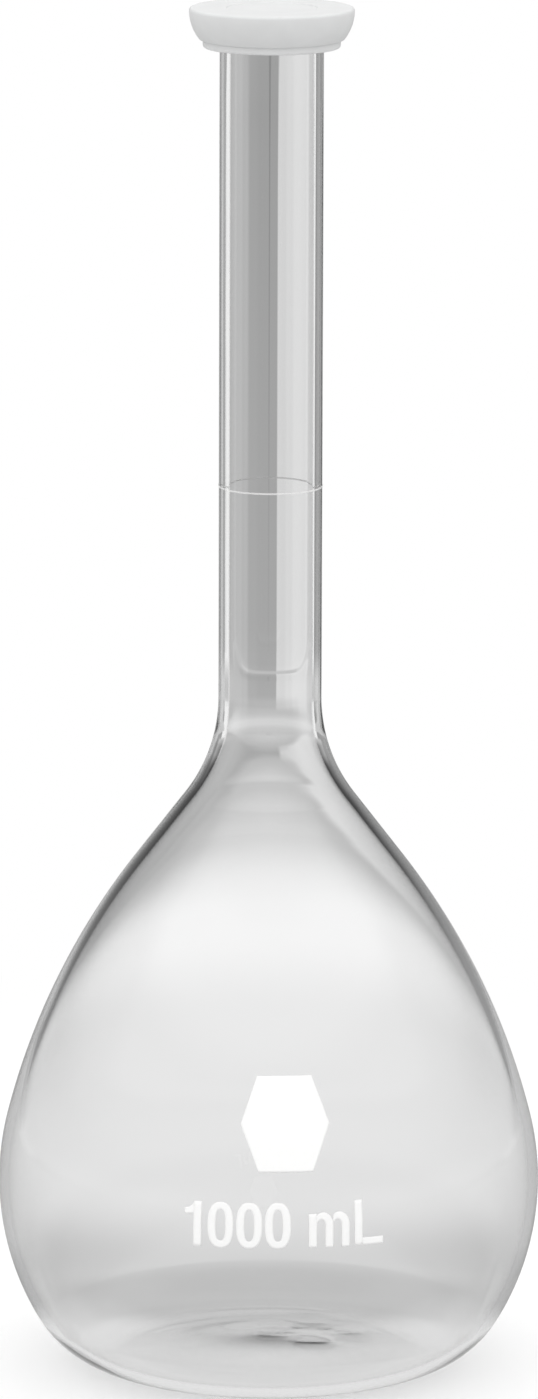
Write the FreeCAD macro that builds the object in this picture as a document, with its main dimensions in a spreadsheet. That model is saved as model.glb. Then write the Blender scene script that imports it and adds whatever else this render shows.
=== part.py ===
import FreeCAD, Part
import math
import os
import Sketcher

# A 1000 mL volumetric flask with its snap cap, in millimetres, +Z up, origin at the middle of the base.
# The flask is a mould-blown pear-shaped bulb and a length of neck tubing, sealed end to end in the flame.
# Its ring mark and its write-on spot are white enamel fired onto the glass. The cap is one soft moulding:
# a dished flange, a skirt round the glass bead and a hollow plug in the mouth. It lifts straight off.

SIZES = {
    # Outside of the bulb: heel, belt and upper arcs, then a straight flank and a hollow shoulder arc.
    # The angles are in degrees from the horizontal, where the heel, belt and upper arcs meet.
    "bulb_radius": "62.0",
    "heel_radius": "22.7",
    "heel_angle": "31.5",
    "belt_radius": "61.0",
    "belt_angle": "14.2",
    "upper_radius": "165.5",
    "flank_length": "18.8",
    "shoulder_radius": "36.9",
    "glass_wall": "2.18",
    # Shallow hollow under the base, which leaves a flat ring to stand on
    "kick_radius": "26.0",
    "kick_rise": "1.2",
    # Neck tubing, with a round bead and an eased lip at the mouth
    "neck_radius": "11.75",
    "neck_length": "155.4",
    "bead_round": "2.15",
    "bead_fillet": "1.0",
    "lip_round": "0.8",
    # Fired enamel
    "enamel_film": "0.15",
    "ring_above_seal": "48.9",
    "ring_width": "0.4",
    "spot_middle": "69.0",
    "spot_half_width": "10.0",
    "spot_half_height": "10.3",
    "spot_half_edge": "6.1",
    # Snap cap: flange, well in its top, skirt and plug
    "cap_plate": "2.5",
    "well_radius": "10.2",
    "well_depth": "0.3",
    "flange_depth": "7.15",
    "flange_overhang": "3.1",
    "foot_overhang": "0.78",
    "rim_round": "0.6",
    "skirt_wall": "1.35",
    "skirt_drop": "1.85",
    "skirt_round": "0.7",
    "skirt_clearance": "0.3",
    "plug_length": "6.5",
    "plug_wall": "1.3",
    "plug_round": "0.5",
    "plug_clearance": "0.25",
}

QUARTER = math.pi / 2
FULL_TURN = 360
ORIGIN = (-1, 1)

doc = FreeCAD.newDocument("volumetric_flask")
sheet = doc.addObject("Spreadsheet::Sheet", "sizes")
for row, (alias, text) in enumerate(SIZES.items(), start=1):
    sheet.set(f"A{row}", alias)
    sheet.set(f"B{row}", text)
    sheet.setAlias(f"B{row}", alias)
doc.recompute()


def size(alias):
    """Read one driving dimension from the sheet."""
    return float(sheet.get(alias))


def at(radius, height):
    """Point of a half section: sketch x is the radius, sketch y the height."""
    return FreeCAD.Vector(radius, height, 0)


def polar(centre, radius, angle):
    """Point at a radius and an angle round a centre."""
    return centre + at(radius * math.cos(angle), radius * math.sin(angle))


def arc(centre, radius, start, end):
    """Counter-clockwise arc between two angles."""
    circle = Part.Circle(centre, FreeCAD.Vector(0, 0, 1), radius)
    return Part.ArcOfCircle(circle, start, end)


def new_body(label):
    """Body that carries one piece of the flask."""
    body = doc.addObject("PartDesign::Body", label)
    body.Label = label
    return body


def new_sketch(body, name):
    """Sketch on the body's upright XZ plane."""
    plane = next(item for item in body.Origin.OriginFeatures if item.Role == "XZ_Plane")
    sketch = body.newObject("Sketcher::SketchObject", name)
    sketch.AttachmentSupport = (plane, [""])
    sketch.MapMode = "FlatFace"
    return sketch


def tie(sketch, kind, *where):
    """Add a constraint that has no size."""
    sketch.addConstraint(Sketcher.Constraint(kind, *where))


def on_axis(sketch, *where):
    """Keep a point on the flask's axis, or two points alike on both sides of it: line -2 of any sketch."""
    kind = "PointOnObject" if len(where) == 2 else "Symmetric"
    tie(sketch, kind, *where, -2)


def dimension(sketch, name, expression, kind, *where):
    """Add a named dimension at its drawn length, then bind it to the sheet."""
    if kind == "Radius":
        drawn = sketch.Geometry[where[0]].Radius
    elif kind == "Distance":
        drawn = sketch.Geometry[where[0]].length()
    else:
        span = sketch.getPoint(*where[2:]) - sketch.getPoint(*where[:2])
        drawn = span.x if kind == "DistanceX" else span.y
    index = sketch.addConstraint(Sketcher.Constraint(kind, *where, drawn))
    sketch.renameConstraint(index, name)
    sketch.setExpression("Constraints." + name, expression)


def turn(body, sketch, name, kind="PartDesign::Revolution"):
    """Turn a half section a full turn about the flask's axis, to add or (as a Groove) to remove glass."""
    feature = body.newObject(kind, name)
    feature.Profile = sketch
    feature.ReferenceAxis = (sketch, ["V_Axis"])
    feature.Angle = FULL_TURN
    sketch.Visibility = False
    return feature


def draw_bulb_outline(sketch, inset, inset_text):
    """Draw the bulb's closed half section, moved inwards by inset: 0 is the outside of the glass.

    From the flat foot the outline runs up a heel arc, a belt arc, an upper arc, a straight flank and a
    hollow shoulder arc, all tangent, to the seal plane, across to the axis, down to the kick and back.
    Every inset keeps the same arc centres, so two insets are a wall of even thickness.
    """
    heel_radius = size("heel_radius") - inset
    belt_radius = size("belt_radius") - inset
    upper_radius = size("upper_radius") - inset
    shoulder_radius = size("shoulder_radius") + inset
    neck_radius = size("neck_radius") - inset
    flank_length = size("flank_length")
    heel_angle = math.radians(size("heel_angle"))
    belt_angle = math.radians(size("belt_angle"))

    # Starting places of the centres, from the tangencies
    belt_middle = at(size("bulb_radius") - size("belt_radius"), size("heel_radius"))
    belt_middle.y += (belt_radius - heel_radius) * math.sin(heel_angle)
    heel_middle = polar(belt_middle, belt_radius - heel_radius, -heel_angle)
    upper_middle = polar(belt_middle, belt_radius - upper_radius, belt_angle)
    across = upper_radius + shoulder_radius
    reach = math.hypot(across, flank_length)
    lean = math.acos((neck_radius + shoulder_radius - upper_middle.x) / reach)
    lean -= math.atan2(flank_length, across)
    flank_low = polar(upper_middle, upper_radius, lean)
    flank_high = polar(flank_low, flank_length, lean + QUARTER)
    shoulder_middle = polar(flank_high, shoulder_radius, lean)
    kick_curve = (size("kick_radius") ** 2 + size("kick_rise") ** 2) / (2 * size("kick_rise"))
    kick_middle = at(0, size("kick_rise") - kick_curve)
    kick_swing = math.acos((inset - kick_middle.y) / (kick_curve + inset))
    kick_foot = polar(kick_middle, kick_curve + inset, QUARTER - kick_swing)
    kick_top = at(0, size("kick_rise") + inset)
    seal_height = shoulder_middle.y

    heel, belt, upper, flank, shoulder, seal, axis, kick, foot = sketch.addGeometry([
        arc(heel_middle, heel_radius, -QUARTER, -heel_angle),
        arc(belt_middle, belt_radius, -heel_angle, belt_angle),
        arc(upper_middle, upper_radius, belt_angle, lean),
        Part.LineSegment(flank_low, flank_high),
        arc(shoulder_middle, shoulder_radius, math.pi, math.pi + lean),
        Part.LineSegment(at(neck_radius, seal_height), at(0, seal_height)),
        Part.LineSegment(at(0, seal_height), kick_top),
        arc(kick_middle, kick_curve + inset, QUARTER - kick_swing, QUARTER),
        Part.LineSegment(kick_foot, at(heel_middle.x, inset)),
    ], False)

    tie(sketch, "Tangent", heel, 2, belt, 1)
    tie(sketch, "Tangent", belt, 2, upper, 1)
    tie(sketch, "Tangent", upper, 2, flank, 1)
    tie(sketch, "Tangent", flank, 2, shoulder, 2)
    tie(sketch, "Coincident", shoulder, 1, seal, 1)
    tie(sketch, "Coincident", seal, 2, axis, 1)
    tie(sketch, "Coincident", axis, 2, kick, 2)
    tie(sketch, "Coincident", kick, 1, foot, 1)
    tie(sketch, "Coincident", foot, 2, heel, 1)
    tie(sketch, "Vertical", heel, 1, heel, 3)
    tie(sketch, "Horizontal", shoulder, 1, shoulder, 3)
    tie(sketch, "Horizontal", seal)
    tie(sketch, "Horizontal", foot)
    on_axis(sketch, axis, 1)
    on_axis(sketch, axis, 2)
    on_axis(sketch, kick, 3)

    curve_text = "(sizes.kick_radius^2 + sizes.kick_rise^2) / (2 * sizes.kick_rise)"
    base_text = "sizes.bulb_radius - sizes.belt_radius"
    base_text += " + (sizes.belt_radius - sizes.heel_radius) * cos(sizes.heel_angle)"
    belt_text = f"(sizes.belt_radius - ({inset_text}))"
    dimension(sketch, "heel", f"sizes.heel_radius - ({inset_text})", "Radius", heel)
    dimension(sketch, "belt", belt_text, "Radius", belt)
    dimension(sketch, "upper", f"sizes.upper_radius - ({inset_text})", "Radius", upper)
    dimension(sketch, "shoulder", f"sizes.shoulder_radius + ({inset_text})", "Radius", shoulder)
    dimension(sketch, "kick", f"{curve_text} + ({inset_text})", "Radius", kick)
    dimension(sketch, "flank", "sizes.flank_length", "Distance", flank)
    dimension(sketch, "base", base_text, "DistanceX", *ORIGIN, heel, 3)
    dimension(sketch, "heel_level", "sizes.heel_radius", "DistanceY", *ORIGIN, heel, 3)
    dimension(sketch, "heel_end", f"{belt_text} * sin(sizes.heel_angle)", "DistanceY", belt, 1, belt, 3)
    dimension(sketch, "belt_end", f"{belt_text} * sin(sizes.belt_angle)", "DistanceY", belt, 3, belt, 2)
    dimension(sketch, "neck", f"sizes.neck_radius - ({inset_text})", "DistanceX", *ORIGIN, shoulder, 1)
    dimension(sketch, "kick_depth", f"{curve_text} - sizes.kick_rise", "DistanceY", kick, 3, *ORIGIN)

    seal_mark = sketch.addConstraint(Sketcher.Constraint("DistanceY", *ORIGIN, shoulder, 1, seal_height))
    sketch.setDriving(seal_mark, False)
    sketch.renameConstraint(seal_mark, "seal_height")


def make_bulb():
    """Mould-blown bulb: the outside turned solid, the inside turned away one wall further in."""
    body = new_body("blown_bulb")
    outside = new_sketch(body, "bulb_outside")
    draw_bulb_outline(outside, 0, "0")
    turn(body, outside, "bulb_blank")
    inside = new_sketch(body, "bulb_inside")
    draw_bulb_outline(inside, size("glass_wall"), "sizes.glass_wall")
    turn(body, inside, "bulb_hollow", "PartDesign::Groove")
    return body


SEAL_LEVEL = "bulb_outside.Constraints.seal_height"
MOUTH_LEVEL = SEAL_LEVEL + " + sizes.neck_length * 1 mm"


def make_neck():
    """Neck tubing from the seal plane to the mouth: a bore, a filleted round bead and an eased lip."""
    body = new_body("neck_tube")
    sketch = new_sketch(body, "neck_section")
    outer = size("neck_radius")
    bore = outer - size("glass_wall")
    length = size("neck_length")
    bead_round = size("bead_round")
    fillet_round = size("bead_fillet")
    lip_round = size("lip_round")
    bead_middle = at(outer, length - bead_round)
    fillet_drop = math.sqrt((bead_round + fillet_round) ** 2 - fillet_round ** 2)
    fillet_middle = bead_middle + at(fillet_round, -fillet_drop)
    fillet_turn = math.atan2(fillet_drop, fillet_round)

    end, wall, fillet, bead, rim, lip, inner = sketch.addGeometry([
        Part.LineSegment(at(bore, 0), at(outer, 0)),
        Part.LineSegment(at(outer, 0), at(outer, fillet_middle.y)),
        arc(fillet_middle, fillet_round, math.pi - fillet_turn, math.pi),
        arc(bead_middle, bead_round, -fillet_turn, QUARTER),
        Part.LineSegment(at(outer, length), at(bore + lip_round, length)),
        arc(at(bore + lip_round, length - lip_round), lip_round, QUARTER, math.pi),
        Part.LineSegment(at(bore, length - lip_round), at(bore, 0)),
    ], False)

    tie(sketch, "Coincident", end, 2, wall, 1)
    tie(sketch, "Tangent", wall, 2, fillet, 2)
    tie(sketch, "Tangent", fillet, 1, bead, 1)
    tie(sketch, "Tangent", bead, 2, rim, 1)
    tie(sketch, "Tangent", rim, 2, lip, 1)
    tie(sketch, "Tangent", lip, 2, inner, 1)
    tie(sketch, "Coincident", inner, 2, end, 1)
    tie(sketch, "Horizontal", end)
    tie(sketch, "Vertical", wall)
    tie(sketch, "Horizontal", rim)
    tie(sketch, "Vertical", inner)
    dimension(sketch, "seal", "0", "DistanceY", *ORIGIN, end, 2)
    dimension(sketch, "outer", "sizes.neck_radius", "DistanceX", *ORIGIN, wall, 1)
    dimension(sketch, "bore", "sizes.neck_radius - sizes.glass_wall", "DistanceX", *ORIGIN, end, 1)
    dimension(sketch, "mouth", "sizes.neck_length", "DistanceY", *ORIGIN, rim, 1)
    dimension(sketch, "bead_middle", "sizes.neck_radius", "DistanceX", *ORIGIN, bead, 3)
    dimension(sketch, "bead", "sizes.bead_round", "Radius", bead)
    dimension(sketch, "fillet", "sizes.bead_fillet", "Radius", fillet)
    dimension(sketch, "lip", "sizes.lip_round", "Radius", lip)
    turn(body, sketch, "neck_glass")
    body.setExpression("Placement.Base.z", SEAL_LEVEL)
    return body


def draw_loop(sketch, corners):
    """Draw a closed run of straight lines through the corners and join their ends."""
    ends = corners[1:] + corners[:1]
    lines = sketch.addGeometry([Part.LineSegment(a, b) for a, b in zip(corners, ends)], False)
    for line, follower in zip(lines, lines[1:] + lines[:1]):
        tie(sketch, "Coincident", line, 2, follower, 1)
    return lines


def make_ring():
    """Ring mark: an enamel line right round the neck, at the height that 1000 mL reaches."""
    body = new_body("graduation_ring")
    sketch = new_sketch(body, "ring_section")
    inner = size("neck_radius")
    outer = inner + size("enamel_film")
    half = size("ring_width") / 2
    bottom, outside, top, inside = draw_loop(
        sketch, [at(inner, -half), at(outer, -half), at(outer, half), at(inner, half)])
    tie(sketch, "Horizontal", bottom)
    tie(sketch, "Vertical", outside)
    tie(sketch, "Horizontal", top)
    tie(sketch, "Vertical", inside)
    dimension(sketch, "neck", "sizes.neck_radius", "DistanceX", *ORIGIN, bottom, 1)
    dimension(sketch, "film", "sizes.enamel_film", "DistanceX", bottom, 1, bottom, 2)
    dimension(sketch, "width", "sizes.ring_width", "DistanceY", bottom, 2, top, 1)
    dimension(sketch, "above", "sizes.ring_width / 2", "DistanceY", *ORIGIN, top, 1)
    turn(body, sketch, "ring_line")
    body.setExpression("Placement.Base.z", SEAL_LEVEL + " + sizes.ring_above_seal * 1 mm")
    return body


def make_spot():
    """Write-on spot: a six-sided patch of enamel film, cut from a skin that follows the bulb."""
    skin = new_body("spot_skin")
    outside = new_sketch(skin, "spot_outside")
    draw_bulb_outline(outside, -size("enamel_film"), "-sizes.enamel_film")
    turn(skin, outside, "spot_blank")
    inside = new_sketch(skin, "spot_inside")
    draw_bulb_outline(inside, 0, "0")
    turn(skin, inside, "spot_hollow", "PartDesign::Groove")

    stencil = new_body("spot_stencil")
    sketch = new_sketch(stencil, "spot_shape")
    middle = size("spot_middle")
    half_width = size("spot_half_width")
    half_height = size("spot_half_height")
    half_edge = size("spot_half_edge")
    low, low_right, high_right, high, high_left, low_left = draw_loop(sketch, [
        at(-half_edge, middle - half_height),
        at(half_edge, middle - half_height),
        at(half_width, middle),
        at(half_edge, middle + half_height),
        at(-half_edge, middle + half_height),
        at(-half_width, middle),
    ])
    tie(sketch, "Horizontal", low_right, 2, low_left, 1)
    on_axis(sketch, low, 1, low, 2)
    on_axis(sketch, high, 1, high, 2)
    dimension(sketch, "middle", "sizes.spot_middle", "DistanceY", *ORIGIN, low_right, 2)
    dimension(sketch, "right", "sizes.spot_half_width", "DistanceX", *ORIGIN, low_right, 2)
    dimension(sketch, "left", "sizes.spot_half_width", "DistanceX", low_left, 1, *ORIGIN)
    dimension(sketch, "rise", "sizes.spot_half_height", "DistanceY", low_right, 2, high, 1)
    dimension(sketch, "fall", "sizes.spot_half_height", "DistanceY", low, 2, low_right, 2)
    dimension(sketch, "low_edge", "2 * sizes.spot_half_edge", "DistanceX", low, 1, low, 2)
    dimension(sketch, "high_edge", "2 * sizes.spot_half_edge", "DistanceX", high, 2, high, 1)
    prism = stencil.newObject("PartDesign::Pad", "spot_prism")
    prism.Profile = sketch
    prism.setExpression("Length", "2 * sizes.bulb_radius")

    spot = doc.addObject("Part::Common", "marking_spot")
    spot.Label = "marking_spot"
    spot.Base = skin
    spot.Tool = stencil
    return spot


def make_cap():
    """Snap cap: a dished flange with a shallow well, a skirt round the bead and a hollow plug."""
    body = new_body("snap_cap")
    sketch = new_sketch(body, "cap_section")
    plate = size("cap_plate")
    well_floor = plate - size("well_depth")
    skirt_bore = size("neck_radius") + size("bead_round") + size("skirt_clearance")
    skirt = skirt_bore + size("skirt_wall")
    flange = skirt + size("flange_overhang")
    foot = skirt + size("foot_overhang")
    rim_round = size("rim_round")
    skirt_round = size("skirt_round")
    plug_round = size("plug_round")
    flange_low = plate - size("flange_depth")
    skirt_low = flange_low - size("skirt_drop")
    plug = size("neck_radius") - size("glass_wall") - size("plug_clearance")
    plug_bore = plug - size("plug_wall")
    plug_low = -size("plug_length")
    widest = plate - rim_round
    bowl_rise = widest - flange_low
    bowl_round = (bowl_rise ** 2 + (flange - foot) ** 2) / (2 * (flange - foot))
    bowl_middle = at(flange - bowl_round, widest)
    bowl_swing = math.asin(bowl_rise / bowl_round)

    (axis, well, well_wall, top, rim, bowl, under, skirt_wall, skirt_edge, skirt_end, skirt_inner,
     seat, plug_wall, plug_edge, plug_end, plug_inner, ceiling) = sketch.addGeometry([
        Part.LineSegment(at(0, 0), at(0, well_floor)),
        Part.LineSegment(at(0, well_floor), at(size("well_radius"), well_floor)),
        Part.LineSegment(at(size("well_radius"), well_floor), at(size("well_radius"), plate)),
        Part.LineSegment(at(size("well_radius"), plate), at(flange - rim_round, plate)),
        arc(at(flange - rim_round, widest), rim_round, 0, QUARTER),
        arc(bowl_middle, bowl_round, -bowl_swing, 0),
        Part.LineSegment(at(foot, flange_low), at(skirt, flange_low)),
        Part.LineSegment(at(skirt, flange_low), at(skirt, skirt_low + skirt_round)),
        arc(at(skirt - skirt_round, skirt_low + skirt_round), skirt_round, -QUARTER, 0),
        Part.LineSegment(at(skirt - skirt_round, skirt_low), at(skirt_bore, skirt_low)),
        Part.LineSegment(at(skirt_bore, skirt_low), at(skirt_bore, 0)),
        Part.LineSegment(at(skirt_bore, 0), at(plug, 0)),
        Part.LineSegment(at(plug, 0), at(plug, plug_low + plug_round)),
        arc(at(plug - plug_round, plug_low + plug_round), plug_round, -QUARTER, 0),
        Part.LineSegment(at(plug - plug_round, plug_low), at(plug_bore, plug_low)),
        Part.LineSegment(at(plug_bore, plug_low), at(plug_bore, 0)),
        Part.LineSegment(at(plug_bore, 0), at(0, 0)),
    ], False)

    tie(sketch, "Coincident", axis, 2, well, 1)
    tie(sketch, "Coincident", well, 2, well_wall, 1)
    tie(sketch, "Coincident", well_wall, 2, top, 1)
    tie(sketch, "Tangent", top, 2, rim, 2)
    tie(sketch, "Tangent", rim, 1, bowl, 2)
    tie(sketch, "Coincident", bowl, 1, under, 1)
    tie(sketch, "Coincident", under, 2, skirt_wall, 1)
    tie(sketch, "Tangent", skirt_wall, 2, skirt_edge, 2)
    tie(sketch, "Tangent", skirt_edge, 1, skirt_end, 1)
    tie(sketch, "Coincident", skirt_end, 2, skirt_inner, 1)
    tie(sketch, "Coincident", skirt_inner, 2, seat, 1)
    tie(sketch, "Coincident", seat, 2, plug_wall, 1)
    tie(sketch, "Tangent", plug_wall, 2, plug_edge, 2)
    tie(sketch, "Tangent", plug_edge, 1, plug_end, 1)
    tie(sketch, "Coincident", plug_end, 2, plug_inner, 1)
    tie(sketch, "Coincident", plug_inner, 2, ceiling, 1)
    tie(sketch, "Coincident", ceiling, 2, axis, 1)
    for level in (well, top, under, skirt_end, seat, plug_end, ceiling):
        tie(sketch, "Horizontal", level)
    for upright in (well_wall, skirt_wall, skirt_inner, plug_wall, plug_inner):
        tie(sketch, "Vertical", upright)
    tie(sketch, "Horizontal", bowl, 2, bowl, 3)
    tie(sketch, "Coincident", axis, 1, *ORIGIN)
    on_axis(sketch, axis, 2)
    tie(sketch, "Horizontal", seat, 1, *ORIGIN)

    bore_text = "sizes.neck_radius + sizes.bead_round + sizes.skirt_clearance"
    plug_text = "sizes.neck_radius - sizes.glass_wall - sizes.plug_clearance"
    dimension(sketch, "plate", "sizes.cap_plate", "DistanceY", *ORIGIN, top, 1)
    dimension(sketch, "well_depth", "sizes.well_depth", "DistanceY", well, 2, top, 1)
    dimension(sketch, "well", "sizes.well_radius", "DistanceX", *ORIGIN, well, 2)
    dimension(sketch, "rim", "sizes.rim_round", "Radius", rim)
    dimension(sketch, "overhang", "sizes.flange_overhang", "DistanceX", under, 2, bowl, 2)
    dimension(sketch, "foot", "sizes.foot_overhang", "DistanceX", under, 2, under, 1)
    dimension(sketch, "flange", "sizes.flange_depth", "DistanceY", under, 1, top, 2)
    dimension(sketch, "drop", "sizes.skirt_drop", "DistanceY", skirt_end, 1, under, 2)
    dimension(sketch, "skirt_edge", "sizes.skirt_round", "Radius", skirt_edge)
    dimension(sketch, "skirt_wall", "sizes.skirt_wall", "DistanceX", skirt_end, 2, skirt_wall, 1)
    dimension(sketch, "skirt_bore", bore_text, "DistanceX", *ORIGIN, skirt_inner, 2)
    dimension(sketch, "plug", plug_text, "DistanceX", *ORIGIN, seat, 2)
    dimension(sketch, "plug_edge", "sizes.plug_round", "Radius", plug_edge)
    dimension(sketch, "plug_wall", "sizes.plug_wall", "DistanceX", plug_end, 2, seat, 2)
    dimension(sketch, "plug_length", "sizes.plug_length", "DistanceY", plug_end, 1, *ORIGIN)
    turn(body, sketch, "cap_moulding")
    body.setExpression("Placement.Base.z", MOUTH_LEVEL)
    return body


def contents_to_ring():
    """Volume inside the glass up to the middle of the ring mark, in millilitres."""
    section = Part.Face(doc.getObject("bulb_inside").Shape.Wires[0])
    hollow = section.revolve(FreeCAD.Vector(), FreeCAD.Vector(0, 0, 1), FULL_TURN)
    bore = size("neck_radius") - size("glass_wall")
    return (abs(hollow.Volume) + math.pi * bore ** 2 * size("ring_above_seal")) / 1000


pieces = [make_bulb(), make_neck(), make_ring(), make_spot(), make_cap()]
doc.recompute()

for item in doc.Objects:
    if {"Invalid", "Error"} & set(item.State):
        raise RuntimeError(f"{item.Name} did not build: {item.State}")
for piece in pieces:
    if piece.Shape.isNull() or not piece.Shape.isValid():
        raise RuntimeError(f"{piece.Label} has no valid shape")

os.makedirs("parts", exist_ok=True)
for piece in pieces:
    piece.Shape.exportStep(f"parts/{piece.Label}.step")
    print(piece.Label, len(piece.Shape.Solids), "solid", round(piece.Shape.Volume / 1000, 3), "cm3")
print("contents to the ring", round(contents_to_ring(), 1), "mL")
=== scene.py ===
import math

import bpy
import numpy as np
from mathutils import Matrix, Vector


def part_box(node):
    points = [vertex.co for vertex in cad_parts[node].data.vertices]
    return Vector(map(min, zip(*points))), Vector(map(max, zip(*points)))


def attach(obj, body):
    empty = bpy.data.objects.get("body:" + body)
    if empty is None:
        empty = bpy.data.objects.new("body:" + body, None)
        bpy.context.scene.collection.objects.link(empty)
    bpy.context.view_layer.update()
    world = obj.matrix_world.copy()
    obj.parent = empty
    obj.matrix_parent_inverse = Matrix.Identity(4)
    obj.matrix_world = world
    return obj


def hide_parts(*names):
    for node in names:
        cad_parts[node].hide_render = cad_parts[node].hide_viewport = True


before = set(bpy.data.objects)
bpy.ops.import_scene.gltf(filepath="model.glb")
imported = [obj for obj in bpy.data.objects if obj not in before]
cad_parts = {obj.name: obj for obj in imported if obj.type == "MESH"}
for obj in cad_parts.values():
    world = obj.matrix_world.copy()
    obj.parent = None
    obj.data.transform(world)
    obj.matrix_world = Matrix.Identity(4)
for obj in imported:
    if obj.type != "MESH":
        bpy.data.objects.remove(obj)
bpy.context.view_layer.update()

# A 1000 mL volumetric flask with a snap cap: blown and drawn glass, fired white marks and a moulded cap.
# Everything is in metres, +Z up, with the origin at the middle of the base and the marks facing -Y.

MM = 0.001
QUARTER = math.pi / 2

# Outside of the bulb: heel, belt and upper arcs, a straight flank and a hollow shoulder arc
BULB_RADIUS = 62.0 * MM
HEEL_RADIUS = 22.7 * MM
HEEL_ANGLE = math.radians(31.5)
BELT_RADIUS = 61.0 * MM
BELT_ANGLE = math.radians(14.2)
UPPER_RADIUS = 165.5 * MM
FLANK_LENGTH = 18.8 * MM
SHOULDER_RADIUS = 36.9 * MM
GLASS_WALL = 2.18 * MM
KICK_RADIUS = 26.0 * MM
KICK_RISE = 1.2 * MM

# Neck tubing and its beaded mouth
NECK_RADIUS = 11.75 * MM
BORE_RADIUS = NECK_RADIUS - GLASS_WALL
BEAD_ROUND = 2.15 * MM
BEAD_FILLET = 1.0 * MM
LIP_ROUND = 0.8 * MM

# How the inside of the glass departs from a perfect turned form
KICK_THICKENING = 0.25 * MM
SEAL_RIPPLE_HEIGHT = 146.0 * MM
SEAL_THICKENING = 0.24 * MM
SEAL_SPREAD_BELOW = 8.0 * MM
SEAL_SPREAD_ABOVE = 3.8 * MM
SEAL_RIPPLE = 0.02 * MM
SEAL_RIPPLE_LENGTH = 6.0 * MM
SEAL_RIPPLE_SPREAD = 6.0 * MM
SEAL_RIPPLE_TILT = 0.4
FLAME_LINE_HEIGHT = 162.3 * MM
FLAME_LINE_ABOVE = 9.0 * MM
FLAME_LINE_BELOW = 2.0 * MM
FLAME_LINE_RISE = 28.0 * MM
FLAME_LINE_POWER = 8
FLAME_LINE_FADE = 6.0 * MM
FLAME_LINE_DEPTH = 0.07 * MM
FLAME_LINE_WIDTH = 0.9 * MM
DRAW_STREAK = 0.004 * MM
DRAW_STREAK_WAVES = (3, 7, 13, 22, 31)
DRAW_STREAK_START = 10.0 * MM
BLOWN_WAVE = 0.05 * MM
BLOWN_WAVE_LENGTHS = (19.0 * MM, 27.0 * MM)
BLOWN_WAVE_START = 30.0 * MM
HEEL_SHELF_HEIGHT = 9.9 * MM
HEEL_SHELF_LENGTH = 5.0 * MM
HEEL_SHELF_DEPTH = 1.2 * MM
HEEL_SHELF_FRONT = -27.0 * MM
HEEL_SHELF_BACK = 48.0 * MM
BASE_MARK_PLACE = (10.9 * MM, 13.0 * MM)
BASE_MARK_RADIUS = 8.4 * MM
BASE_MARK_WIDTH = 4.4 * MM
BASE_MARK_DEPTH = 0.155 * MM
BASE_MARK_LOBES = 4
BASE_MARK_TURN = math.radians(-8)

# Fired enamel: the film's face stands off the glass, and its back keeps clear of it by a hair. The ring's
# section is made of shares of its half width and heights off the glass.
ENAMEL_FILM = 0.15 * MM
ENAMEL_SEAT = 0.01 * MM
RING_WIDTH = 0.4 * MM
RING_UNEVENNESS = 0.08
RING_WAVES = (5, 2)
RING_EDGE_FILM = 0.6 * ENAMEL_FILM
RING_SECTION = (
    (-1, ENAMEL_SEAT), (-0.97, RING_EDGE_FILM), (-0.7, ENAMEL_FILM),
    (0.7, ENAMEL_FILM), (0.97, RING_EDGE_FILM), (1, ENAMEL_SEAT))
SPOT_HALF_WIDTH = 10.0 * MM
SPOT_HALF_EDGE = 6.1 * MM

# Capacity mark: plain condensed figures, with places along the glass from the middle of its front
MARK_LOW = 41.7 * MM
MARK_HEIGHT = 10.3 * MM
STROKE = 1.86 * MM
THIN_STROKE = 1.62 * MM
ONE_LEFT = -23.15 * MM
ONE_WIDTH = 3.95 * MM
ONE_FLAG_SWEEP = 1.6 * MM
ONE_FLAG_DROP = 2.95 * MM
ZERO_LEFTS = (-17.8 * MM, -11.3 * MM, -4.85 * MM)
ZERO_WIDTH = 5.9 * MM
ZERO_OVERSHOOT = 0.05 * MM
ZERO_RIM_POWER = 0.80
ZERO_HOLE_POWER = 0.72
M_LEFT = 5.05 * MM
M_WIDTH = 9.4 * MM
M_HEIGHT = 8.0 * MM
M_SPRING = M_HEIGHT - 2.9 * MM
M_STEM_HEIGHT = M_HEIGHT - 0.25 * MM
ARCH_SHIFT = 0.25 * STROKE
ARCH_START = 1.75 * QUARTER
L_LEFT = 15.65 * MM
L_WIDTH = 6.8 * MM
L_FOOT = 1.7 * MM

# Snap cap, measured from the mouth of the glass
CAP_PLATE = 2.5 * MM
WELL_RADIUS = 10.2 * MM
WELL_DEPTH = 0.3 * MM
WELL_HALF_SLOPE = 0.1 * MM
FLANGE_DEPTH = 7.15 * MM
FLANGE_OVERHANG = 3.1 * MM
FOOT_OVERHANG = 0.78 * MM
RIM_ROUND = 0.6 * MM
SKIRT_WALL = 1.35 * MM
SKIRT_DROP = 1.85 * MM
SKIRT_ROUND = 0.7 * MM
SKIRT_CLEARANCE = 0.3 * MM
PLUG_LENGTH = 6.5 * MM
PLUG_WALL = 1.3 * MM
PLUG_ROUND = 0.5 * MM
PLUG_CLEARANCE = 0.25 * MM
CAP_EASING = 0.25 * MM
EASING_LIMIT = 0.45

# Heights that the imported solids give
MOUTH_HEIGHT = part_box("neck_tube")[1].z
RING_HEIGHT = (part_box("graduation_ring")[0].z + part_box("graduation_ring")[1].z) / 2
SPOT_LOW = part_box("marking_spot")[0].z
SPOT_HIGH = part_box("marking_spot")[1].z

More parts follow.
